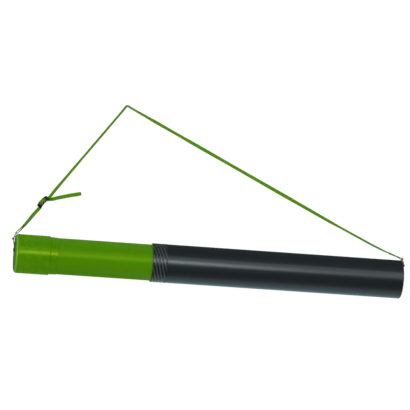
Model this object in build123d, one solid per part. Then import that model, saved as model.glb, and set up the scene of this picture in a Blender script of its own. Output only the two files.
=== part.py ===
from build123d import *
import math
import os

# A telescopic drawing tube that lies along X on the floor, its lid at -X and its base at +X.
# All sizes are in millimetres. The origin is on the floor, under the middle of the tube.
# The carrying strap lies beside the tube, on the same floor, at +Y.

# The tubes
TUBE_RADIUS = 40.0           # outer tube, outside
TUBE_WALL = 1.5
INNER_RADIUS = 37.5          # inner tube, outside
CROWN_RADIUS = 40.3          # lid, collar crests and base flange, which the object lies on
AXIS_Z = CROWN_RADIUS
END_X = 405.0                # the lid's and the base's end faces are at -END_X and +END_X
INNER_LENGTH = 561.5
INNER_START = -END_X + 3.5
RUNNING_FIT = 0.08           # radial clearance of the telescoping tubes
CLOSE_FIT = 0.05             # radial clearance of the lid, rivets and pushed-in pieces

# The lid
END_WALL = 3.0
LID_EDGE = 7.0               # rounding of its closed end
LID_SHOULDER_X = -333.2      # where it steps down to its neck
LID_NECK_RADIUS = 38.2
LID_MOUTH_X = -317.4
LID_STEP_RADIUS = 38.8       # at the foot of the cap's step, where a gentle taper begins
LID_TAPER = 10.0             # length of that taper
LID_RINGS_X = (-394.3, -389.3, -384.3)
RING_GROOVE = 0.25           # depth and half width of the fine rings

# The collar in the outer tube's mouth, with its steep grip grooves
MOUTH_X = -121.3
COLLAR_LENGTH = 31.0
SPIGOT_LENGTH = 25.0
GROOVE_STARTS = 10
GROOVE_LEAD = 68.0
GROOVE_RADIUS = 1.9
GROOVE_DEPTH = 1.05
GROOVE_LAND = 1.9            # plain ring before and after the grooves

# The guide collar round the inner tube's hidden end
GUIDE_LENGTH = 12.0

# The base plug
FLANGE = 3.2
FLANGE_EDGE = 2.6
PLUG_DEPTH = 25.0
PLUG_WALL = 1.5

# Rivet, tab and ring, the same at both ends
RIVET_Y = 7.5
RIVET_RADIUS = 1.6
RIVET_HEAD = 3.4
HEAD_HEIGHT = 1.3
WASHER_RADIUS = 5.0
WASHER_HEIGHT = 0.8
TAB_THICKNESS = 1.3
TAB_WIDTH = 8.4
TAB_GAP = 0.15
TAB_BEND_Y = 14.0
EYE_STAND_OFF = 4.3          # from the end face to the eye's centre
EYE_Y = 29.5
EYE_RADIUS = 2.2
WIRE_RADIUS = 1.0
RING_WIDTH = 12.4            # between the wire's centres, like the length
RING_LENGTH = 14.0
RING_CORNER = 1.8
LID_RING_TILT = 25.0         # degrees that each ring leans in over the rim
BASE_RING_TILT = 16.0

# The webbing strap and its slider
WEBBING_WIDTH = 8.0
WEBBING_THICKNESS = 1.2
LOOP_LEG = 9.0               # how far the webbing's loops reach from the rings' far bars
SLIDER_CENTRE = (-349.3, 108.2)
SLIDER_END = (-328.8, 133.4)     # the strap's line beyond the slider, which gives its direction
SLIDER_LENGTH = 27.0
SLIDER_WIDTH = 12.6
SLIDER_THICKNESS = 1.8
SLIDER_ARCH = 26.0           # radius of its arch, through the plate's middle
SLIDER_TILT = 42.0           # degrees that its top leans away from the tube
SLIDER_WINDOW = (6.2, 8.7)
SLIDER_BAR = 3.0
SLIDER_Z = 5.0               # underside of its end bars, at their middle

# The strap's route: its centreline, point by point. Each radius follows from the runs beside it.
LONG_ROUTE = [
    (393.9, 47.4, 40.0),
    (375.0, 55.2, 38.4),
    (350.0, 66.2, 29.5),
    (322.0, 79.0, 17.5),
    (291.0, 92.8, 8.6),
    (255.0, 109.2, 4.6),
    (205.0, 133.2, 4.0),
    (-178.6, 314.4, 4.0),
    (-190.6, 320.6, 4.0),
    (-198.4, 310.2, 4.0),
]
SHORT_ROUTE = [
    (-198.6, 309.9, 4.0),
    (-318.2, 148.2, 4.0),
    (-334.0, 127.8, 5.2),
    (-340.3, 119.7, 6.0),
]
LOOP_ROUTE = [
    (-359.0, 96.1, 5.2),
    (-367.0, 84.9, 9.2),
    (-377.6, 71.0, 21.5),
    (-386.9, 60.1, 34.0),
    (-395.2, 50.2, 40.0),
]
TAIL_ROUTE = [
    (-341.0, 115.9, 0.65),
    (-328.8, 118.4, 0.65),
    (-312.9, 122.4, 0.65),
    (-296.9, 126.2, 0.65),
    (-273.1, 131.9, 0.65),
]


def direction(start, end):
    """The unit vector from one point of the floor plan to another."""
    run = math.dist(start, end)
    return ((end[0] - start[0]) / run, (end[1] - start[1]) / run)


def lathe(outline, rounds=()):
    """A solid turned about the tube's axis: outline holds (x, radius), rounds (corner, radius)."""
    face = make_face(Polyline(*outline, close=True))
    for corner, radius in rounds:
        spot = Vector(*outline[corner])
        nearest = min(face.vertices(), key=lambda v: (Vector(*v) - spot).length)
        face = fillet(nearest, radius)
    return Pos(0, 0, AXIS_Z) * revolve(face, Axis.X)


def pipe(start, end, inner, outer):
    """A plain round tube along the axis."""
    return lathe([(start, inner), (start, outer), (end, outer), (end, inner)])


def rod(start, end, radius, y=0.0):
    """A solid cylinder along X at the axis height."""
    length = abs(end - start)
    return Pos((start + end) / 2, y, AXIS_Z) * Rot(0, 90, 0) * Cylinder(radius, length)


# ---------------------------------------------------------------- tubes, collars and plug

def outer_tube():
    return pipe(MOUTH_X + COLLAR_LENGTH, END_X - FLANGE, TUBE_RADIUS - TUBE_WALL, TUBE_RADIUS)


def grip_cutter():
    """One steep groove: a round section swept along a helix about the axis."""
    path = Helix(
        pitch=GROOVE_LEAD,
        height=COLLAR_LENGTH - 2 * GROOVE_LAND,
        radius=CROWN_RADIUS - GROOVE_DEPTH + GROOVE_RADIUS,
        direction=(1, 0, 0),
    )
    section = Plane(origin=path @ 0, z_dir=path % 0) * Circle(GROOVE_RADIUS)
    groove = sweep(section, path=path, is_frenet=True)
    return Pos(MOUTH_X + GROOVE_LAND, 0, AXIS_Z) * groove


def mouth_collar():
    """The collar whose skirt is glued into the outer tube, and whose bore guides the inner one."""
    bore = INNER_RADIUS + RUNNING_FIT
    spigot = TUBE_RADIUS - TUBE_WALL - CLOSE_FIT
    shoulder = MOUTH_X + COLLAR_LENGTH
    body = lathe(
        [
            (MOUTH_X, bore),
            (MOUTH_X, CROWN_RADIUS),
            (shoulder, CROWN_RADIUS),
            (shoulder, spigot),
            (shoulder + SPIGOT_LENGTH, spigot),
            (shoulder + SPIGOT_LENGTH, bore),
        ],
        rounds=((1, 0.6), (2, 0.3)),
    )
    cutter = grip_cutter()
    pivot = Pos(0, 0, AXIS_Z)
    for start in range(GROOVE_STARTS):
        turn = Rot(360 * start / GROOVE_STARTS, 0, 0)
        body -= pivot * turn * pivot.inverse() * cutter
    return body


def base_plug():
    """A cup pushed into the outer tube, with a rounded flange over the tube's end."""
    spigot = TUBE_RADIUS - TUBE_WALL - CLOSE_FIT
    flange = END_X - FLANGE
    body = lathe(
        [
            (END_X, 0),
            (END_X, CROWN_RADIUS),
            (flange, CROWN_RADIUS),
            (flange, spigot),
            (END_X - PLUG_DEPTH, spigot),
            (END_X - PLUG_DEPTH, spigot - PLUG_WALL),
            (END_X - END_WALL, spigot - PLUG_WALL),
            (END_X - END_WALL, 0),
        ],
        rounds=((1, FLANGE_EDGE), (2, 0.3)),
    )
    return body - rod(END_X - 10, END_X + 10, RIVET_RADIUS + CLOSE_FIT, RIVET_Y)


def inner_tube():
    return pipe(INNER_START, INNER_START + INNER_LENGTH, INNER_RADIUS - TUBE_WALL, INNER_RADIUS)


def guide_collar():
    """The ring on the inner tube's hidden end, which centres it and stops it at full length."""
    end = INNER_START + INNER_LENGTH
    outside = TUBE_RADIUS - TUBE_WALL - RUNNING_FIT
    return pipe(end - GUIDE_LENGTH, end, INNER_RADIUS + 0.02, outside)


def lid():
    """The push-on lid: a deep cap that steps and tapers down to a thin neck round the inner tube."""
    bore = INNER_RADIUS + CLOSE_FIT
    outline = [(-END_X, 0), (-END_X, CROWN_RADIUS)]
    for x in LID_RINGS_X:
        outline += [
            (x - RING_GROOVE, CROWN_RADIUS),
            (x, CROWN_RADIUS - RING_GROOVE),
            (x + RING_GROOVE, CROWN_RADIUS),
        ]
    step = len(outline)
    outline += [
        (LID_SHOULDER_X, CROWN_RADIUS),
        (LID_SHOULDER_X, LID_STEP_RADIUS),
        (LID_SHOULDER_X + LID_TAPER, LID_NECK_RADIUS),
        (LID_MOUTH_X, LID_NECK_RADIUS),
        (LID_MOUTH_X, bore),
        (-END_X + END_WALL, bore),
        (-END_X + END_WALL, 0),
    ]
    rounds = ((1, LID_EDGE), (step, 0.5), (step + 1, 0.8), (step + 3, 0.3))
    body = lathe(outline, rounds)
    return body - rod(-END_X - 10, -END_X + 10, RIVET_RADIUS + CLOSE_FIT, RIVET_Y)


# ---------------------------------------------------------------- end fittings
# Each is built for the base, whose outside is towards +X, and mirrored for the lid.

def end_tab():
    """A riveted tab, bent away from the end face, with an eye rolled at its end."""
    plate_x = END_X + TAB_GAP + TAB_THICKNESS / 2
    eye = (END_X + EYE_STAND_OFF, EYE_Y)
    spine = Polyline((plate_x, RIVET_Y - TAB_WIDTH), (plate_x, TAB_BEND_Y), eye)
    profile = trace(spine, TAB_THICKNESS) + Pos(*eye) * Circle(EYE_RADIUS)
    profile -= Pos(*eye) * Circle(WIRE_RADIUS + CLOSE_FIT)
    plate = Pos(0, 0, AXIS_Z) * extrude(profile, TAB_WIDTH / 2, both=True)
    reach = EYE_Y + TAB_WIDTH - RIVET_Y
    plan = Pos(RIVET_Y + reach / 2, AXIS_Z) * SlotCenterToCenter(reach, TAB_WIDTH)
    rounding = extrude(Plane.YZ.offset(END_X) * plan, 10)
    hole = rod(END_X - 10, END_X + 10, RIVET_RADIUS + 0.08, RIVET_Y)
    return (plate & rounding) - hole


def end_rivet():
    """The rivet: a domed head outside, a shank, and a flat closed head inside."""
    under_head = END_X + 2 * TAB_GAP + TAB_THICKNESS
    inside = END_X - END_WALL - WASHER_HEIGHT
    head = rod(under_head, under_head + HEAD_HEIGHT, RIVET_HEAD, RIVET_Y)
    head = fillet(head.edges().sort_by(Axis.X)[-1], HEAD_HEIGHT * 0.8)
    shank = rod(inside - 0.5, under_head + 0.5, RIVET_RADIUS, RIVET_Y)
    tail = rod(inside - 1.0, inside, RIVET_HEAD - 0.6, RIVET_Y)
    return head + shank + tail


def end_washer():
    inside = END_X - END_WALL
    washer = rod(inside - WASHER_HEIGHT, inside, WASHER_RADIUS, RIVET_Y)
    return washer - rod(inside - 10, inside + 10, RIVET_RADIUS + CLOSE_FIT, RIVET_Y)


def end_ring(tilt):
    """A rounded rectangle of wire from the tab's eye, leaning in over the rim by tilt degrees."""
    lean = math.radians(tilt)
    plane = Plane(
        origin=(END_X + EYE_STAND_OFF, EYE_Y, AXIS_Z),
        x_dir=(0, 0, 1),
        z_dir=(-math.cos(lean), -math.sin(lean), 0),
    )
    outline = plane * Pos(0, RING_LENGTH / 2) * RectangleRounded(RING_WIDTH, RING_LENGTH, RING_CORNER)
    path = outline.face().outer_wire()
    section = Plane(origin=path @ 0, z_dir=path % 0) * Circle(WIRE_RADIUS)
    return sweep(section, path=path)


def far_bar(tilt):
    """Where the ring's far bar crosses the floor plan, at the base."""
    lean = math.radians(tilt)
    eye_x = END_X + EYE_STAND_OFF
    return (eye_x - RING_LENGTH * math.sin(lean), EYE_Y + RING_LENGTH * math.cos(lean))


# ---------------------------------------------------------------- strap

def webbing_loop(bar, towards):
    """Webbing on edge, folded round a ring's far bar, with two legs towards a point."""
    along = Vector(*direction(bar, towards))
    across = Vector(-along.Y, along.X)
    centre = Vector(*bar)
    middle = WIRE_RADIUS + 0.15 + WEBBING_THICKNESS / 2
    near = centre + across * middle
    far = centre - across * middle
    fold = Line(near + along * LOOP_LEG, near)
    fold += ThreePointArc(near, centre - along * middle, far)
    fold += Line(far, far + along * LOOP_LEG)
    band = extrude(trace(fold, WEBBING_THICKNESS), WEBBING_WIDTH / 2, both=True)
    return Pos(0, 0, AXIS_Z) * band


def route_radii(route):
    """For each corner of a route, 0.45 of the shorter run over the tangent of half the turn."""
    radii = []
    for before, corner, after in zip(route, route[1:], route[2:]):
        arriving = Vector(*corner) - Vector(*before)
        leaving = Vector(*after) - Vector(*corner)
        half_turn = math.radians(arriving.get_angle(leaving) / 2)
        shorter = min(arriving.length, leaving.length)
        radii.append(0.45 * shorter / math.tan(half_turn))
    return radii


def cord(name, route, outline):
    """A strap stretch: a plain outline swept along straight runs joined by tangent arcs."""
    radii = route_radii(route)
    path = FilletPolyline(*route, radius=radii)
    section = Plane(origin=path @ 0, x_dir=(path % 0).cross(Vector(0, 0, 1)), z_dir=path % 0) * outline
    solid = sweep(section, path=path)
    share = solid.volume / (outline.area * path.length)
    print(f"{name}: {path.length:.1f} mm long, volume {share:.4f} of section times length,", end=" ")
    print("radii", [round(r, 1) for r in radii])
    return solid


def strap_slider():
    """An arched slide with two windows, which the webbing threads, lying along the strap."""
    half = SLIDER_LENGTH / 2
    underside = SLIDER_ARCH - math.sqrt(SLIDER_ARCH**2 - half**2)
    low = (half, SLIDER_THICKNESS / 2)
    arch = ThreePointArc((-low[0], low[1]), (0, low[1] + underside), low)
    plate = extrude(trace(arch, SLIDER_THICKNESS), SLIDER_WIDTH / 2, both=True)
    long, wide = SLIDER_WINDOW
    for side in (-1, 1):
        window = Box(long, 20, wide)
        plate -= Pos(side * (SLIDER_BAR + long) / 2, 0, 0) * window
    heading = math.degrees(math.atan2(*reversed(direction(SLIDER_CENTRE, SLIDER_END))))
    return Pos(*SLIDER_CENTRE, SLIDER_Z) * Rot(0, 0, heading) * Rot(90 - SLIDER_TILT, 0, 0) * plate


def mirrored(shape):
    return mirror(shape, Plane.YZ)


lid_bar = far_bar(LID_RING_TILT)
lid_bar = (-lid_bar[0], lid_bar[1])
base_bar = far_bar(BASE_RING_TILT)
round_cord = Circle(WEBBING_WIDTH / 2)
flat_cord = Rectangle(WEBBING_WIDTH, WEBBING_THICKNESS)

NODES = {
    "outer_tube": outer_tube(),
    "mouth_collar": mouth_collar(),
    "base_plug": base_plug(),
    "inner_tube": inner_tube(),
    "guide_collar": guide_collar(),
    "lid": lid(),
    "base_tab": end_tab(),
    "base_rivet": end_rivet(),
    "base_washer": end_washer(),
    "base_ring": end_ring(BASE_RING_TILT),
    "lid_tab": mirrored(end_tab()),
    "lid_rivet": mirrored(end_rivet()),
    "lid_washer": mirrored(end_washer()),
    "lid_ring": mirrored(end_ring(LID_RING_TILT)),
    "strap_base_loop": webbing_loop(base_bar, LONG_ROUTE[1][:2]),
    "strap_lid_loop": webbing_loop(lid_bar, LOOP_ROUTE[-2][:2]),
    "strap_long_run": cord("strap_long_run", LONG_ROUTE, round_cord),
    "strap_short_run": cord("strap_short_run", SHORT_ROUTE, round_cord),
    "strap_double_run": cord("strap_double_run", LOOP_ROUTE, round_cord),
    "strap_tail": cord("strap_tail", TAIL_ROUTE, flat_cord),
    "strap_slider": strap_slider(),
}

os.makedirs("parts", exist_ok=True)
for name, shape in NODES.items():
    export_step(shape, f"parts/{name}.step")
print("lid ring's far bar", lid_bar, "base ring's far bar", base_bar)
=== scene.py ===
"""The looks of a telescopic drawing tube that lies on a pale floor, with its carrying strap beside it.

Lengths are in metres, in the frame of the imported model: X runs along the tube, from the lid to the base,
+Y points to the strap's peak, and the floor is at Z = 0.
"""
import math

import bmesh
import bpy
from mathutils import Matrix, Vector


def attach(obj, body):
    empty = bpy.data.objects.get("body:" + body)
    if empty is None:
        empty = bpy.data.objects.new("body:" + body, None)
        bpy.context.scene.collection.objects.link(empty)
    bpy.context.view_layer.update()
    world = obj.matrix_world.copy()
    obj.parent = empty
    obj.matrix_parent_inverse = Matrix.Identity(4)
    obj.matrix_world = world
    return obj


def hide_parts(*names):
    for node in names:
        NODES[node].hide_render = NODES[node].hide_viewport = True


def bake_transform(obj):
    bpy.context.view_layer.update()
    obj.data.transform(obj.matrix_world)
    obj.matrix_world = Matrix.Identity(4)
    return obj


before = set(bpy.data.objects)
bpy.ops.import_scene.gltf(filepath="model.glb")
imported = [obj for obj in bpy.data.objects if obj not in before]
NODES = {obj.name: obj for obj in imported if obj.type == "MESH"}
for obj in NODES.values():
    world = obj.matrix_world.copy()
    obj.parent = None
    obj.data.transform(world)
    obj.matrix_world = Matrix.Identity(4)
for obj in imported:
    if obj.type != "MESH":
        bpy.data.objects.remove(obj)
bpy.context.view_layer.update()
AXIS_Z = 0.0403
UP = Vector((0, 0, 1))

# The webbing
WIDTH = 0.008
THICKNESS = 0.0012
LAYER_GAP = 0.00065          # from the middle between two layers to each layer's middle
WOVEN_COLUMN = 0.001         # width of a column of yarn
WOVEN_ROW = 0.0013           # length of a row of yarn
STEP = 0.0015                # between two cross-sections of the webbing
THREAD_STEP = 0.0005         # the same, in the slider
FOLD_RADIUS = 0.00175        # of the webbing's middle, round a ring's bar
FOLD_STEPS = 14
SEWN_END = 0.018             # how far the sewn end lies along the long run
STITCH_ROW = 0.0024          # from the webbing's middle to a row of stitches
STITCH_STEPS = 6             # along a stitch, and also round its thread
THREAD = 0.00025             # radius of the sewing thread
THREAD_GRAIN = 0.0003        # of the weave's pattern, for each step of a stitch
TAIL_SEAL = 0.0008           # length of the tail's melted end
SEAL_SWELL = 1.006           # how much wider the melted end is than the webbing

# The strap's routes: its middle, point by point
LONG_ROUTE = [
    (0.3939, 0.0474, 0.0400),
    (0.3750, 0.0538, 0.0384),
    (0.3500, 0.0643, 0.0295),
    (0.3220, 0.0777, 0.0175),
    (0.2910, 0.0926, 0.0086),
    (0.2550, 0.1092, 0.0046),
    (0.2050, 0.1332, 0.0040),
    (-0.1786, 0.3154, 0.0040),
    (-0.1834, 0.3179, 0.0040),
    (-0.1906, 0.3217, 0.0040),
    (-0.1953, 0.3148, 0.0040),
    (-0.1984, 0.3102, 0.0040),
]
SHORT_ROUTE = [
    (-0.1984, 0.3102, 0.0040),
    (-0.3182, 0.1482, 0.0040),
    (-0.3300, 0.1319, 0.0040),
    (-0.3359, 0.1224, 0.0043),
    (-0.3394, 0.1190, 0.0049),
]
DOUBLE_ROUTE = [
    (-0.3581, 0.0954, 0.0045),
    (-0.3613, 0.0909, 0.0042),
    (-0.3670, 0.0849, 0.0092),
    (-0.3776, 0.0710, 0.0215),
    (-0.3869, 0.0601, 0.0340),
    (-0.3952, 0.0502, 0.0400),
]
TAIL_ROUTE = [
    (-0.3425, 0.1149, 0.0047),
    (-0.3385, 0.1152, 0.0044),
    (-0.3320, 0.1162, 0.0040),
    (-0.3235, 0.1190, 0.0040),
    (-0.3129, 0.1221, 0.0040),
    (-0.2969, 0.1264, 0.0040),
    (-0.2731, 0.1319, 0.0040),
]

# The middles of the rings' bars, which the webbing folds round
BASE_BAR = Vector((0.405441, 0.042958, AXIS_Z))
LID_BAR = Vector((-0.403383, 0.042188, AXIS_Z))

# Where the strap is divided, as distances along its runs
NEAR_RING = 0.050            # along the long run, from the base ring
NEAR_TUBE = 0.120
BY_SLIDER = 0.100            # along the short run, back from the slider
NEAR_SLIDER = 0.026          # along the double run, from the slider
NEAR_LID_TAB = 0.048
FOLD_REACH = 0.010           # along the double run, back from the lid ring's bar

# The grip on the collar in the tube's mouth, whose ridges get a painted highlight: its end at the mouth and
# its length along X
GRIP_START = -0.1213
GRIP_LENGTH = 0.0310
GRIP_GROOVES = 10
GRIP_LEAD = 0.068            # how far a groove goes along X in one turn
GRIP_PHASE = 0.215           # where a groove's bottom is, as a share of the spacing between grooves

# The floor and the cards that lie on it
FLOOR_Z = -0.0003
FLOOR_REACH = 6.0
FLOOR_GLOW = 0.98
CARD_REACH = 3.0

# Colours
GREEN = (0.057, 0.186, 0.0003)
# Painted highlight on the lid's rounded end edge
GREEN_EDGE_HIGHLIGHT = (0.14, 0.34, 0.015)
GREEN_GLOSS = (0.75, 1.0, 0.05)
DARK = (0.0085, 0.0105, 0.0122)
# Painted highlight on the rounded edges of the base plug and guide collar that face the base
DARK_EDGE_HIGHLIGHT = (0.05, 0.06, 0.065)
# The collar's colour with the painted highlight of its ridges; its grooves and plain ends are multiplied down
# to about the dark tube's colour
COLLAR_LIT_RIDGE = (0.050, 0.060, 0.068)
BLACK = (0, 0, 0)
WHITE = (1, 1, 1)
COOL_WHITE = (0.88, 0.98, 1)
BLUISH = (0.7, 0.88, 1)
ALONG_TUBE = (0.02, 1, 1)    # stretches a pattern into streaks along the tube

# How far the webbing is turned from lying flat, in degrees, at shares of each route's length
LONG_TILT = [
    (0, 88), (0.035, 70), (0.065, 60), (0.14, 57), (0.19, 58), (0.25, 38), (0.35, 30), (0.41, 20),
    (0.52, 29), (0.62, 35), (0.68, 26), (0.73, 26), (0.8, 40), (0.88, 34), (0.92, 50), (0.97, 58), (1, 62),
]
SHORT_TILT = [
    (0, 62), (0.1, 63), (0.36, 60), (0.54, 62), (0.64, 54), (0.75, 54), (0.9, 44), (1, 42),
]
DOUBLE_TILT = [(0, 42), (0.25, 42), (0.45, 50), (0.55, 60), (0.65, 70), (0.8, 82), (1, 88)]
TAIL_TILT = [(0, -42), (0.2, -24), (0.45, -6), (1, 2)]

# How far each of two layers is from the middle between them, at shares of the double run
LAYER_SPREAD = [(0, LAYER_GAP), (0.45, 0.0008), (1, FOLD_RADIUS)]

# The slider's own frame: its middle, along the strap, away from the tube, out of its face, and across it
SLIDER_PLACE = Vector((-0.3493, 0.1082, 0.0050))
SLIDER_LEAN = math.radians(42)
ALONG = Vector((0.631, 0.776, 0)).normalized()
AWAY = Vector((-ALONG.y, ALONG.x, 0))
OUT = AWAY * math.sin(SLIDER_LEAN) + UP * math.cos(SLIDER_LEAN)
ACROSS = UP * math.sin(SLIDER_LEAN) - AWAY * math.cos(SLIDER_LEAN)

# The webbing's two layers in the slider, (along, out of its face): under an end bar, over the middle bar
# and under the other end bar
UPPER_LAYER = [(0.0146, -0.0013), (0.0075, 0.00135), (0.0026, 0.00775),
               (-0.0026, 0.00775), (-0.0075, 0.00135), (-0.0155, -0.0013)]
LOWER_LAYER = [(0.0095, -0.0016), (0.0067, 0.0003), (0.0021, 0.00645),
               (-0.0021, 0.00645), (-0.0067, 0.0003), (-0.0155, -0.0026)]


# ---------------------------------------------------------------- materials

def node_adder(tree):
    """A function that adds a shader node to a tree, with its settings and inputs."""
    def add(kind, settings=None, **inputs):
        node = tree.nodes.new("ShaderNode" + kind)
        for key, value in (settings or {}).items():
            setattr(node, key, value)
        for key, value in inputs.items():
            socket = node.inputs[key.replace("_", " ")]
            if isinstance(value, bpy.types.NodeSocket):
                tree.links.new(value, socket)
            else:
                socket.default_value = value
        return node

    return add


def calculator(tree):
    """A function that adds a Math node to a tree and gives its result."""
    def calc(operation, first, second=0.0):
        node = tree.nodes.new("ShaderNodeMath")
        node.operation = operation
        for socket, value in zip(node.inputs, (first, second)):
            if isinstance(value, bpy.types.NodeSocket):
                tree.links.new(value, socket)
            else:
                socket.default_value = value
        return node.outputs["Value"]

    return calc


def new_material(name):
    """A new node material, its tree, its Principled shader and a function that adds a node to it."""
    made = bpy.data.materials.new(name)
    made.use_nodes = True
    tree = made.node_tree
    return made, tree, tree.nodes["Principled BSDF"], node_adder(tree)


def colour_ramp(add, factor, stops):
    """A colour ramp of (place, colour) stops, read at factor."""
    ramp = add("ValToRGB", Fac=factor)
    elements = ramp.color_ramp.elements
    while len(elements) < len(stops):
        elements.new(0.5)
    for element, (place, colour) in zip(elements, stops):
        element.position = place
        element.color = (*colour, 1)
    return ramp.outputs["Color"]


def drive(tree, shader, name, result):
    """Connects a node's result to one of the shader's inputs."""
    tree.links.new(result, shader.inputs[name])


def mix_colour(tree, add, shader, factor, other, blend="MIX"):
    """Mixes another colour into what the shader already has as its base colour."""
    mixed = add("Mix", {"data_type": "RGBA", "blend_type": blend})
    own_colour = shader.inputs["Base Color"].links[0].from_socket
    tree.links.new(own_colour, mixed.inputs["A"])
    for name, value in (("Factor", factor), ("B", other)):
        if isinstance(value, bpy.types.NodeSocket):
            tree.links.new(value, mixed.inputs[name])
        else:
            mixed.inputs[name].default_value = value
    drive(tree, shader, "Base Color", mixed.outputs["Result"])


def plastic(name, colour, roughness, grain, stretch=(1, 1, 1), specular=0.5, tint=WHITE):
    """Plastic with a fine grain, faint streaks along stretch's short side, and cloudy tone."""
    made, tree, shader, add = new_material(name)
    calc = calculator(tree)
    place = add("TexCoord").outputs["Object"]
    streaked = add("Mapping", Vector=place, Scale=stretch).outputs["Vector"]
    clouds = add("TexNoise", Vector=place, Scale=14, Detail=3, Roughness=0.6).outputs["Fac"]
    streaks = add("TexNoise", Vector=streaked, Scale=90, Detail=4, Roughness=0.55).outputs["Fac"]
    fine = add("TexNoise", Vector=place, Scale=2600, Detail=2).outputs["Fac"]
    tone = calc("ADD", calc("MULTIPLY", clouds, 0.6), streaks)
    dark = tuple(channel * 0.95 for channel in colour)
    light = tuple(channel * 1.05 for channel in colour)
    drive(tree, shader, "Base Color", colour_ramp(add, tone, [(0.55, dark), (1.0, light)]))
    gloss = add("MapRange", Value=streaks, From_Min=0.3, From_Max=0.7)
    gloss.inputs["To Min"].default_value = roughness - 0.05
    gloss.inputs["To Max"].default_value = roughness + 0.06
    drive(tree, shader, "Roughness", gloss.outputs["Result"])
    bump = add("Bump", Height=calc("ADD", fine, streaks), Strength=grain, Distance=0.00008)
    drive(tree, shader, "Normal", bump.outputs["Normal"])
    shader.inputs["Specular IOR Level"].default_value = specular
    shader.inputs["Specular Tint"].default_value = (*tint, 1)
    return made


def metal(name, colour, roughness, metallic=1.0):
    """Metal or painted metal with fine scratches and slightly uneven gloss."""
    made, tree, shader, add = new_material(name)
    place = add("TexCoord").outputs["Object"]
    scratches = add("TexNoise", Vector=place, Scale=1800, Detail=5, Distortion=0.8).outputs["Fac"]
    dull = tuple(channel * 0.75 for channel in colour)
    drive(tree, shader, "Base Color", colour_ramp(add, scratches, [(0.35, dull), (0.6, colour)]))
    gloss = add("MapRange", Value=scratches)
    gloss.inputs["To Min"].default_value = roughness - 0.08
    gloss.inputs["To Max"].default_value = roughness + 0.1
    drive(tree, shader, "Roughness", gloss.outputs["Result"])
    bump = add("Bump", Height=scratches, Strength=0.25, Distance=0.00004)
    drive(tree, shader, "Normal", bump.outputs["Normal"])
    shader.inputs["Metallic"].default_value = metallic
    return made


def webbing_material(name, valley, ridge):
    """Woven webbing, whose gaps between yarns are darkened with painted shade. Its UVs are metres across and
    along the band.
    """
    made, tree, shader, add = new_material(name)
    place = add("UVMap", {"uv_map": "weave"}).outputs["UV"]
    split = add("SeparateXYZ", Vector=place)
    calc = calculator(tree)
    column = calc("MULTIPLY", split.outputs["X"], 1 / WOVEN_COLUMN)
    above_zero = calc("ADD", column, 40.0)
    half_row = calc("MULTIPLY", calc("MODULO", calc("FLOOR", above_zero), 2.0), 0.5)
    row = calc("ADD", calc("MULTIPLY", split.outputs["Y"], 1 / WOVEN_ROW), half_row)
    across = calc("ABSOLUTE", calc("SINE", calc("MULTIPLY", column, math.pi)))
    along = calc("ABSOLUTE", calc("SINE", calc("MULTIPLY", row, math.pi)))
    yarn = calc("POWER", calc("MULTIPLY", across, along), 0.5)
    fuzz = add("TexNoise", Vector=place, Scale=9000, Detail=3).outputs["Fac"]
    # The yarns' crowns take the ridge colour and the gaps between them the valley colour, which is painted
    # shade
    shade = calc("ADD", calc("MULTIPLY", yarn, 0.75), calc("MULTIPLY", fuzz, 0.35))
    drive(tree, shader, "Base Color", colour_ramp(add, shade, [(0.15, valley), (0.9, ridge)]))
    height = calc("ADD", yarn, calc("MULTIPLY", fuzz, 0.3))
    bump = add("Bump", Height=height, Strength=0.7, Distance=0.00025)
    drive(tree, shader, "Normal", bump.outputs["Normal"])
    shader.inputs["Roughness"].default_value = 0.72
    shader.inputs["Specular IOR Level"].default_value = 0.2
    shader.inputs["Specular Tint"].default_value = (*GREEN_GLOSS, 1)
    return made


def grip_painted_highlight(made):
    """Paints a highlight on the collar's grip: its ridges are lightened unevenly, while its grooves and plain
    ends keep the collar's dark colour.
    """
    tree = made.node_tree
    add = node_adder(tree)
    calc = calculator(tree)
    place = add("TexCoord").outputs["Object"]
    split = add("SeparateXYZ", Vector=place)
    angle = calc("ARCTAN2", calc("SUBTRACT", split.outputs["Z"], AXIS_Z), split.outputs["Y"])
    from_mouth = calc("SUBTRACT", split.outputs["X"], GRIP_START)
    turns = calc(
        "SUBTRACT",
        calc("MULTIPLY", angle, GRIP_GROOVES / math.tau),
        calc("MULTIPLY", from_mouth, GRIP_GROOVES / GRIP_LEAD),
    )
    # The whole turns keep it above zero, and the half puts a groove's bottom at 0.5
    phase = calc("FRACT", calc("ADD", turns, 10.5 - GRIP_PHASE))
    off_groove = calc("ABSOLUTE", calc("SUBTRACT", phase, 0.5))
    across_grip = calc("MULTIPLY", from_mouth, 1 / GRIP_LENGTH)
    grooved = colour_ramp(add, across_grip, [(0, BLACK), (0.06, WHITE), (0.9, WHITE), (1, BLACK)])
    # A random mottle on the painted highlight, which is strongest on the ridges and none in the groove bottoms
    # and plain ends
    light_mottle = add("TexNoise", Vector=place, Scale=700, Detail=3).outputs["Fac"]
    ridge = calc("MULTIPLY", calc("MULTIPLY", calc("SUBTRACT", off_groove, 0.16), 3.2), grooved)
    ridge_light = calc("MULTIPLY", ridge, calc("ADD", light_mottle, 0.5))
    tone = colour_ramp(add, ridge_light, [(0, (0.14, 0.14, 0.14)), (0.35, (0.22, 0.22, 0.22)), (1, WHITE)])
    mix_colour(tree, add, tree.nodes["Principled BSDF"], 1.0, tone, "MULTIPLY")
    return made


def painted_edge_highlight(made, towards, colour):
    """Paints a highlight on the rounded edge between an end face, whose normal is towards along X, and the
    side.
    """
    tree = made.node_tree
    add = node_adder(tree)
    split = add("SeparateXYZ", Vector=add("TexCoord").outputs["Normal"])
    turned = calculator(tree)("MULTIPLY", split.outputs["X"], towards)
    edge = colour_ramp(add, turned, [(0.2, BLACK), (0.45, WHITE), (0.7, WHITE), (0.9, BLACK)])
    mix_colour(tree, add, tree.nodes["Principled BSDF"], edge, (*colour, 1))
    return made


# The lid's rounded end edge gets a painted highlight
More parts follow.
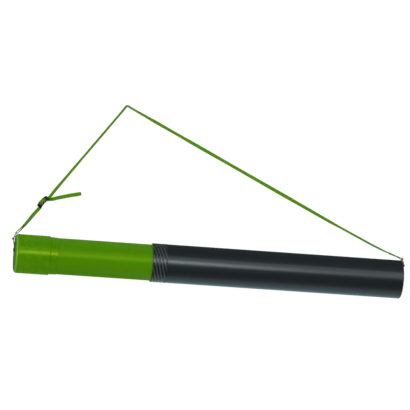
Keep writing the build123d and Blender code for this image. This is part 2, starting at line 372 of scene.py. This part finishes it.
green_moulded = painted_edge_highlight(
    plastic("green_moulded_plastic", GREEN, 0.25, 0.05, specular=0.42, tint=GREEN_GLOSS), -1, GREEN_EDGE_HIGHLIGHT
)
green_extruded = plastic(
    "green_extruded_plastic", GREEN, 0.36, 0.2, stretch=ALONG_TUBE, specular=0.3, tint=GREEN_GLOSS
)
dark_extruded = plastic("dark_extruded_plastic", DARK, 0.3, 0.2, stretch=ALONG_TUBE, specular=0.45)
# The base plug and guide collar get a painted highlight on their rounded edges
dark_moulded = painted_edge_highlight(plastic("dark_moulded_plastic", DARK, 0.34, 0.15, specular=0.45), 1, DARK_EDGE_HIGHLIGHT)
# The collar gets a painted highlight on its ridges
collar_moulded = grip_painted_highlight(plastic("collar_moulded_plastic", COLLAR_LIT_RIDGE, 0.3, 0.3, specular=0.45))
black_tab = plastic("black_tab_plastic", (0.012, 0.012, 0.014), 0.5, 0.6)
slider_gloss = plastic("slider_gloss_plastic", (0.008, 0.009, 0.014), 0.16, 0.1)
black_rivet = metal("black_rivet_paint", (0.015, 0.015, 0.017), 0.35, metallic=0.0)
steel_wire = metal("nickel_wire", (0.42, 0.41, 0.39), 0.32)
washer_steel = metal("washer_steel", (0.5, 0.5, 0.5), 0.35)
webbing = webbing_material("green_webbing", (0.043, 0.129, 0.0003), (0.1, 0.29, 0.001))
melted_end = plastic("melted_webbing_end", (0.02, 0.035, 0.004), 0.4, 0.8)
thread = webbing_material("green_thread", (0.08, 0.22, 0.002), (0.20, 0.55, 0.01))

FINISHES = {
    "outer_tube": dark_extruded,
    "mouth_collar": collar_moulded,
    "base_plug": dark_moulded,
    "guide_collar": dark_moulded,
    "inner_tube": green_extruded,
    "lid": green_moulded,
    "base_tab": black_tab,
    "lid_tab": black_tab,
    "base_rivet": black_rivet,
    "lid_rivet": black_rivet,
    "base_washer": washer_steel,
    "lid_washer": washer_steel,
    "base_ring": steel_wire,
    "lid_ring": steel_wire,
    "strap_slider": slider_gloss,
}
for node, finish in FINISHES.items():
    mesh = NODES[node].data
    mesh.materials.clear()
    mesh.materials.append(finish)


# ---------------------------------------------------------------- strap

def smooth_line(route):
    """Points along the NURBS spline whose control points are the route's."""
    curve = bpy.data.curves.new("route", "CURVE")
    curve.dimensions = "3D"
    curve.resolution_u = 16
    spline = curve.splines.new("NURBS")
    spline.points.add(len(route) - 1)
    for control, place in zip(spline.points, route):
        control.co = (*place, 1)
    spline.order_u = 3
    spline.use_endpoint_u = True
    holder = bpy.data.objects.new("route", curve)
    mesh = bpy.data.meshes.new_from_object(holder)
    line = [vertex.co.copy() for vertex in mesh.vertices]
    bpy.data.objects.remove(holder)
    bpy.data.curves.remove(curve)
    bpy.data.meshes.remove(mesh)
    return line


def evenly(line, step=STEP):
    """The same line with points about a step apart."""
    reach = [0.0]
    for before, after in zip(line, line[1:]):
        reach.append(reach[-1] + (after - before).length)
    count = max(2, round(reach[-1] / step))
    points = []
    segment = 0
    for index in range(count + 1):
        distance = reach[-1] * index / count
        while segment < len(line) - 2 and reach[segment + 1] < distance:
            segment += 1
        span = reach[segment + 1] - reach[segment]
        points.append(line[segment].lerp(line[segment + 1], (distance - reach[segment]) / span))
    return points


def eased(keys, share):
    """The value at a share of the length, which eases from key to key."""
    for (start, low), (end, high) in zip(keys, keys[1:]):
        if share <= end:
            part = (share - start) / (end - start)
            return low + (high - low) * part * part * (3 - 2 * part)
    return keys[-1][1]


def run_length(points):
    """How long the line through the points is."""
    return sum((after - before).length for before, after in zip(points, points[1:]))


def half_height(tilt):
    """How high the webbing's middle is when its lower edge touches the floor."""
    turn = math.radians(tilt)
    return (WIDTH * abs(math.sin(turn)) + THICKNESS * abs(math.cos(turn))) / 2


class Band:
    """The webbing's middle line, with its sideways direction at each point.

    A route says where the middle is when the webbing stands on its edge, so the line is lowered where it
    lies flatter, and its lower edge stays at the same height."""

    def __init__(self, route, tilts):
        points = evenly(smooth_line(route))
        self.points = []
        self.sides = []
        last = len(points) - 1
        for index, point in enumerate(points):
            tilt = eased(tilts, index / last)
            forward = (points[min(index + 1, last)] - points[max(index - 1, 0)]).normalized()
            level = UP.cross(forward).normalized()
            rise = forward.cross(level)
            turn = math.radians(tilt)
            self.sides.append(level * math.cos(turn) + rise * math.sin(turn))
            self.points.append(point - UP * (WIDTH / 2 - half_height(tilt)))

    def length(self):
        """How long the band is."""
        return run_length(self.points)

    def at(self, distance):
        """The number of the cross-section that is nearest to a distance along the band."""
        last = len(self.points) - 1
        return max(0, min(last, round(distance / self.length() * last)))


def section():
    """The webbing's cross-section: (across, through) points, with its woven edges rounded."""
    half = WIDTH / 2
    thick = THICKNESS / 2
    outline = []
    for side in (1, -1):
        for step in range(5):
            angle = math.radians(-60 + 30 * step)
            outline.append((side * (half - thick + thick * math.cos(angle)), side * thick * math.sin(angle)))
        outline.append((side * half * 0.4, side * thick * 0.9))
        outline.append((-side * half * 0.4, side * thick * 0.9))
    return outline


def weave_layer(mesh):
    """The bmesh's layer of UVs for the weave."""
    return mesh.loops.layers.uv.get("weave") or mesh.loops.layers.uv.new("weave")


def sweep(mesh, points, sides, start=0.0):
    """Adds the webbing along points to a bmesh, with UVs in metres, from a distance along it."""
    outline = section()
    weave = weave_layer(mesh)
    rings = []
    reach = []
    last = len(points) - 1
    distance = start
    for index, (point, side) in enumerate(zip(points, sides)):
        before = points[max(index - 1, 0)]
        forward = (points[min(index + 1, last)] - before).normalized()
        normal = forward.cross(side).normalized()
        distance += (point - before).length
        reach.append(distance)
        rings.append([mesh.verts.new(point + side * across + normal * through) for across, through in outline])
    for index in range(last):
        for corner in range(len(outline)):
            following = (corner + 1) % len(outline)
            corners = ((index, corner), (index, following), (index + 1, following), (index + 1, corner))
            face = mesh.faces.new([rings[along][around] for along, around in corners])
            face.smooth = True
            for loop, (along, around) in zip(face.loops, corners):
                loop[weave].uv = (outline[around][0], reach[along])
    for ring in (rings[0], list(reversed(rings[-1]))):
        cap = mesh.faces.new(ring)
        for loop in cap.loops:
            loop[weave].uv = (0, reach[0])


def finish_mesh(name, mesh, material):
    """Turns a bmesh into a piece with its material and slot."""
    bmesh.ops.recalc_face_normals(mesh, faces=mesh.faces)
    data = bpy.data.meshes.new(name)
    mesh.to_mesh(data)
    mesh.free()
    data.materials.append(material)
    piece = bpy.data.objects.new(name, data)
    bpy.context.scene.collection.objects.link(piece)
    return piece


def webbing_piece(name, stretches):
    """One piece of webbing from one or more stretches, each (points, sides, start)."""
    mesh = bmesh.new()
    for points, sides, start in stretches:
        sweep(mesh, points, sides, start)
    return finish_mesh(name, mesh, webbing)


def cut(band, start, end):
    """The stretch of a band between two distances along it."""
    first = band.at(start)
    last = band.at(end)
    return band.points[first:last + 1], band.sides[first:last + 1], start


def offset(stretch, gaps):
    """The stretch moved out of its face, by gaps keyed to shares of its length."""
    points, sides, start = stretch
    moved = []
    last = len(points) - 1
    for index, point in enumerate(points):
        forward = points[min(index + 1, last)] - points[max(index - 1, 0)]
        normal = forward.normalized().cross(sides[index])
        moved.append(point + normal * eased(gaps, index / last))
    return moved, sides, start


def stitch(mesh, first, second, side, outward):
    """Adds one stitch between two points to a bmesh. It arches outward and its ends dip into the webbing."""
    weave = weave_layer(mesh)
    rings = []
    for step in range(STITCH_STEPS + 1):
        share = step / STITCH_STEPS
        place = first.lerp(second, 0.08 + 0.8 * share)
        place += outward * (math.sin(math.pi * share) - 0.35) * THREAD
        turns = [math.tau * corner / STITCH_STEPS for corner in range(STITCH_STEPS)]
        spokes = [outward * math.cos(turn) + side * math.sin(turn) for turn in turns]
        rings.append([mesh.verts.new(place + spoke * THREAD) for spoke in spokes])
    for step in range(STITCH_STEPS):
        for corner in range(STITCH_STEPS):
            corners = ((corner, step), (corner + 1, step), (corner + 1, step + 1), (corner, step + 1))
            face = mesh.faces.new([rings[along][around % STITCH_STEPS] for around, along in corners])
            face.smooth = True
            for loop, (around, along) in zip(face.loops, corners):
                loop[weave].uv = (around * THREAD_GRAIN, along * THREAD_GRAIN)
    mesh.faces.new(rings[0])
    mesh.faces.new(list(reversed(rings[-1])))


def stitches(name, stretch):
    """Thread stitches in two rows, on both outer faces of two layers of webbing."""
    mesh = bmesh.new()
    points, sides, _ = stretch
    for first, second, side in zip(points, points[1:], sides):
        normal = (second - first).normalized().cross(side)
        for row in (-1, 1):
            for face in (-1, 1):
                shift = side * row * STITCH_ROW + normal * face * (LAYER_GAP + THICKNESS / 2)
                stitch(mesh, first + shift, second + shift, side, normal * face)
    return finish_mesh(name, mesh, thread)


def fold_round(bar, legs):
    """One line of webbing out along the first leg, half round the bar, and back along the second leg.

    The legs end beside the bar, on its two sides."""
    (out_points, out_sides, _), (back_points, back_sides, _) = legs
    arm = out_points[-1] - bar
    arriving = (out_points[-1] - out_points[-3]).normalized()
    spin = math.copysign(1, UP.dot(arm.cross(arriving)))
    points = list(out_points)
    sides = list(out_sides)
    for step in range(1, FOLD_STEPS):
        swing = Matrix.Rotation(math.pi * spin * step / FOLD_STEPS, 3, UP)
        points.append(bar + swing @ arm)
        sides.append(out_sides[-1])
    return points + list(reversed(back_points)), sides + list(reversed(back_sides)), 0.0


def layers(band, first, last):
    """Both layers of a doubled stretch, between two of its cross-sections."""
    stretches = []
    count = len(band.points) - 1
    for layer in (1, -1):
        points = []
        for index in range(first, last + 1):
            before = band.points[max(index - 1, 0)]
            after = band.points[min(index + 1, count)]
            normal = (after - before).normalized().cross(band.sides[index])
            points.append(band.points[index] + normal * eased(LAYER_SPREAD, index / count) * layer)
        stretches.append((points, band.sides[first:last + 1], 0.0))
    return stretches


def blend_along(piece):
    """Bakes the piece's placement into its mesh."""
    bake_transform(piece)


# The long run, from the base ring to the strap's peak. Its end is sewn back on itself.
long_run = Band(LONG_ROUTE, LONG_TILT)
near_ring = cut(long_run, 0, NEAR_RING)
sewn_main = offset(near_ring, [(0, LAYER_GAP), (0.22, LAYER_GAP), (0.5, 0), (1, 0)])
sewn_free = offset(cut(long_run, 0, SEWN_END), [(0, -LAYER_GAP), (1, -LAYER_GAP - 0.0001)])
strap_base_end = webbing_piece("strap_base_end", [sewn_main, sewn_free])
blend_along(strap_base_end)
strap_base_stitches = stitches("strap_base_stitches", cut(long_run, 0.001, SEWN_END - 0.002))
blend_along(strap_base_stitches)

rise = cut(long_run, NEAR_RING, NEAR_TUBE)
strap_base_rise = webbing_piece("strap_base_rise", [rise])
blend_along(strap_base_rise)

to_peak = cut(long_run, NEAR_TUBE, long_run.length())
strap_long = webbing_piece("strap_long", [to_peak])
blend_along(strap_long)
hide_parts("strap_long_run")

# The short run, from the peak to the slider
short_run = Band(SHORT_ROUTE, SHORT_TILT)
short_end = short_run.length()
from_peak = cut(short_run, 0, short_end - BY_SLIDER)
strap_short = webbing_piece("strap_short", [from_peak])
blend_along(strap_short)
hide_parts("strap_short_run")
by_slider = cut(short_run, short_end - BY_SLIDER, short_end)
strap_to_slider = webbing_piece("strap_to_slider", [by_slider])
blend_along(strap_to_slider)

# The two layers from the slider to the lid ring
double_run = Band(DOUBLE_ROUTE + [tuple(LID_BAR)], DOUBLE_TILT)
slider_cut = double_run.at(NEAR_SLIDER)
tab_cut = double_run.at(NEAR_LID_TAB)
ring_cut = double_run.at(double_run.length() - FOLD_REACH)
last_cut = len(double_run.points) - 1
strap_double_slider = webbing_piece("strap_double_slider", layers(double_run, 0, slider_cut))
blend_along(strap_double_slider)
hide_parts("strap_double_run")
strap_double_lid = webbing_piece("strap_double_lid", layers(double_run, slider_cut, tab_cut))
blend_along(strap_double_lid)
strap_double_ring = webbing_piece("strap_double_ring", layers(double_run, tab_cut, ring_cut))
blend_along(strap_double_ring)

# The fold round the lid ring's bar
lid_legs = layers(double_run, ring_cut, last_cut)
strap_lid_fold = webbing_piece("strap_lid_fold", [fold_round(LID_BAR, lid_legs)])
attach(strap_lid_fold, "lid_ring")
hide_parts("strap_lid_loop")

# The loop round the base ring's bar, from the sewn end. It stands on its edge, straight to the bar's middle.
to_bar = Band([tuple(long_run.points[0]), tuple(BASE_BAR)], [(0, 88), (1, 88)])
bar_steps = len(to_bar.points) - 1
bar_line = [long_run.points[0].lerp(BASE_BAR, index / bar_steps) for index in range(bar_steps + 1)]
base_legs = [
    offset(
        (bar_line, to_bar.sides, 0.0),
        [(0, side * LAYER_GAP), (0.35, side * LAYER_GAP), (1, side * FOLD_RADIUS)],
    )
    for side in (-1, 1)
]
strap_base_loop = webbing_piece("strap_base_sewn_loop", [fold_round(BASE_BAR, base_legs)])
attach(strap_base_loop, "base_ring")
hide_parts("strap_base_loop")

# The webbing in the slider
threaded = []
for layer in (UPPER_LAYER, LOWER_LAYER):
    route = [SLIDER_PLACE + ALONG * along + OUT * out for along, out in layer]
    line = evenly(smooth_line(route), THREAD_STEP)
    threaded.append((line, [ACROSS] * len(line), 0.0))
strap_in_slider = webbing_piece("strap_in_slider", threaded)
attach(strap_in_slider, "slider")

# The tail, with its end melted so it doesn't fray
tail = Band(TAIL_ROUTE, TAIL_TILT)
strap_tail = webbing_piece("strap_tail_webbing", [(tail.points, tail.sides, 0.0)])
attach(strap_tail, "slider")
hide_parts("strap_tail")
tail_end = tail.points[-1]
end_way = (tail_end - tail.points[-2]).normalized()
seal = bmesh.new()
seal_points = [tail_end + end_way * TAIL_SEAL * share for share in (-0.4, 0.1, 0.6)]
sweep(seal, seal_points, [tail.sides[-1] * SEAL_SWELL] * len(seal_points))
strap_tail_seal = finish_mesh("strap_tail_seal", seal, melted_end)
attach(strap_tail_seal, "slider")


# ---------------------------------------------------------------- floor, camera and lights

def flat_sheet(name, low, high, z, material):
    """A level rectangle between two corners (x, y)."""
    mesh = bmesh.new()
    corners = [(low[0], low[1]), (high[0], low[1]), (high[0], high[1]), (low[0], high[1])]
    mesh.faces.new([mesh.verts.new((x, y, z)) for x, y in corners])
    data = bpy.data.meshes.new(name)
    mesh.to_mesh(data)
    mesh.free()
    data.materials.append(material)
    made = bpy.data.objects.new(name, data)
    bpy.context.scene.collection.objects.link(made)
    return made


def plain_floor():
    """A glowing floor, so no shadow shows. Glossy pieces reflect the bounce cards instead of it."""
    made, tree, shader, add = new_material("pale_floor")
    place = add("TexCoord").outputs["Object"]
    clouds = add("TexNoise", Vector=place, Scale=3, Detail=2).outputs["Fac"]
    paper = colour_ramp(add, clouds, [(0.3, (0.07, 0.07, 0.07)), (0.7, (0.09, 0.09, 0.09))])
    drive(tree, shader, "Base Color", paper)
    shader.inputs["Roughness"].default_value = 0.9
    shader.inputs["Specular IOR Level"].default_value = 0.0
    shader.inputs["Emission Color"].default_value = (*WHITE, 1)
    shader.inputs["Emission Strength"].default_value = FLOOR_GLOW
    floor = flat_sheet("floor", (-FLOOR_REACH, -FLOOR_REACH), (FLOOR_REACH, FLOOR_REACH), FLOOR_Z, made)
    floor.visible_glossy = False


def bounce_card(name, low, high, colour):
    """A glowing card on the floor, which shows only as a reflection in what is glossy."""
    made, _, shader, _ = new_material(name)
    shader.inputs["Base Color"].default_value = (*BLACK, 1)
    shader.inputs["Emission Color"].default_value = (*colour, 1)
    shader.inputs["Emission Strength"].default_value = 1.0
    card = flat_sheet(name, low, high, FLOOR_Z / 2, made)
    for rays in ("camera", "diffuse", "transmission", "volume_scatter", "shadow"):
        setattr(card, "visible_" + rays, False)


def camera():
    """Almost straight above, leaning towards the lid, and turned a little so the tube slopes."""
    lean = math.radians(7.3)
    roll = math.radians(4.05)
    target = Vector((-0.0175, 0.1267, AXIS_Z))
    distance = 6.0
    view = Vector((math.sin(lean), 0, -math.cos(lean)))
    level = Vector((math.cos(lean), 0, math.sin(lean)))
    top = Vector((0, 1, 0))
    right = level * math.cos(roll) + top * math.sin(roll)
    above = top * math.cos(roll) - level * math.sin(roll)
    data = bpy.data.cameras.new("camera")
    data.lens = 254
    data.sensor_width = 36
    data.clip_end = 50
    made = bpy.data.objects.new("camera", data)
    turn = Matrix((right, above, -view)).transposed()
    made.matrix_world = Matrix.Translation(target - view * distance) @ turn.to_4x4()
    bpy.context.scene.collection.objects.link(made)
    bpy.context.scene.camera = made


def softbox(name, place, aim, size, power, colour=WHITE):
    """A rectangular soft light at a place, turned to an aim."""
    data = bpy.data.lights.new(name, "AREA")
    data.shape = "RECTANGLE"
    data.size, data.size_y = size
    data.energy = power
    data.color = colour
    made = bpy.data.objects.new(name, data)
    made.location = place
    direction = Vector(aim) - Vector(place)
    made.rotation_euler = direction.to_track_quat("-Z", "Y").to_euler()
    bpy.context.scene.collection.objects.link(made)
    return made


plain_floor()
camera()
bounce_card("bounce_lid", (-0.404, -CARD_REACH), (-0.115, CARD_REACH), (0.22, 0.52, 0.01))
bounce_card("bounce_tube", (-0.115, -CARD_REACH), (0.80, 0), (0.60, 0.93, 1.02))
softbox("key", (-0.1, 0.5, 2.0), (-0.1, 0, 0), (1.0, 0.6), 16, COOL_WHITE)
softbox("key_end", (0.75, 0.5, 2.0), (0.75, 0, 0), (0.7, 0.6), 2.0, COOL_WHITE)
softbox("glint", (1.15, 1.0, 2.0), (-0.3, 0, 0), (0.25, 0.2), 4, COOL_WHITE)
softbox("back", (0.1, 1.5, 2.0), (0.1, 0, 0), (2.8, 0.4), 9.0, BLUISH)
softbox("back_left", (-2.2, 3.4, 1.9), (0, 0, 0), (1.4, 1.4), 22, BLUISH)
softbox("back_right", (2.9, 3.6, 1.9), (0, 0, 0), (1.4, 1.4), 22, BLUISH)
softbox("fill", (0.95, -2.2, 0.35), (0.6, 0, 0.05), (1.7, 0.7), 3.2, (0.8, 0.93, 1))
softbox("left", (-2.3, 0.1, 1.8), (0, 0, 0), (0.7, 1.4), 28)
softbox("right", (2.3, 0.9, 1.8), (0, 0, 0), (0.8, 1.6), 20)
softbox("wash", (-0.3, -2.0, 1.2), (0, 0, 0), (1.6, 1.0), 16).visible_glossy = False

world = bpy.data.worlds.new("studio")
world.use_nodes = True
background = world.node_tree.nodes["Background"]
background.inputs["Color"].default_value = (0.85, 0.95, 1, 1)
background.inputs["Strength"].default_value = 0.1
bpy.context.scene.world = world
bpy.context.scene.view_settings.view_transform = "Standard"
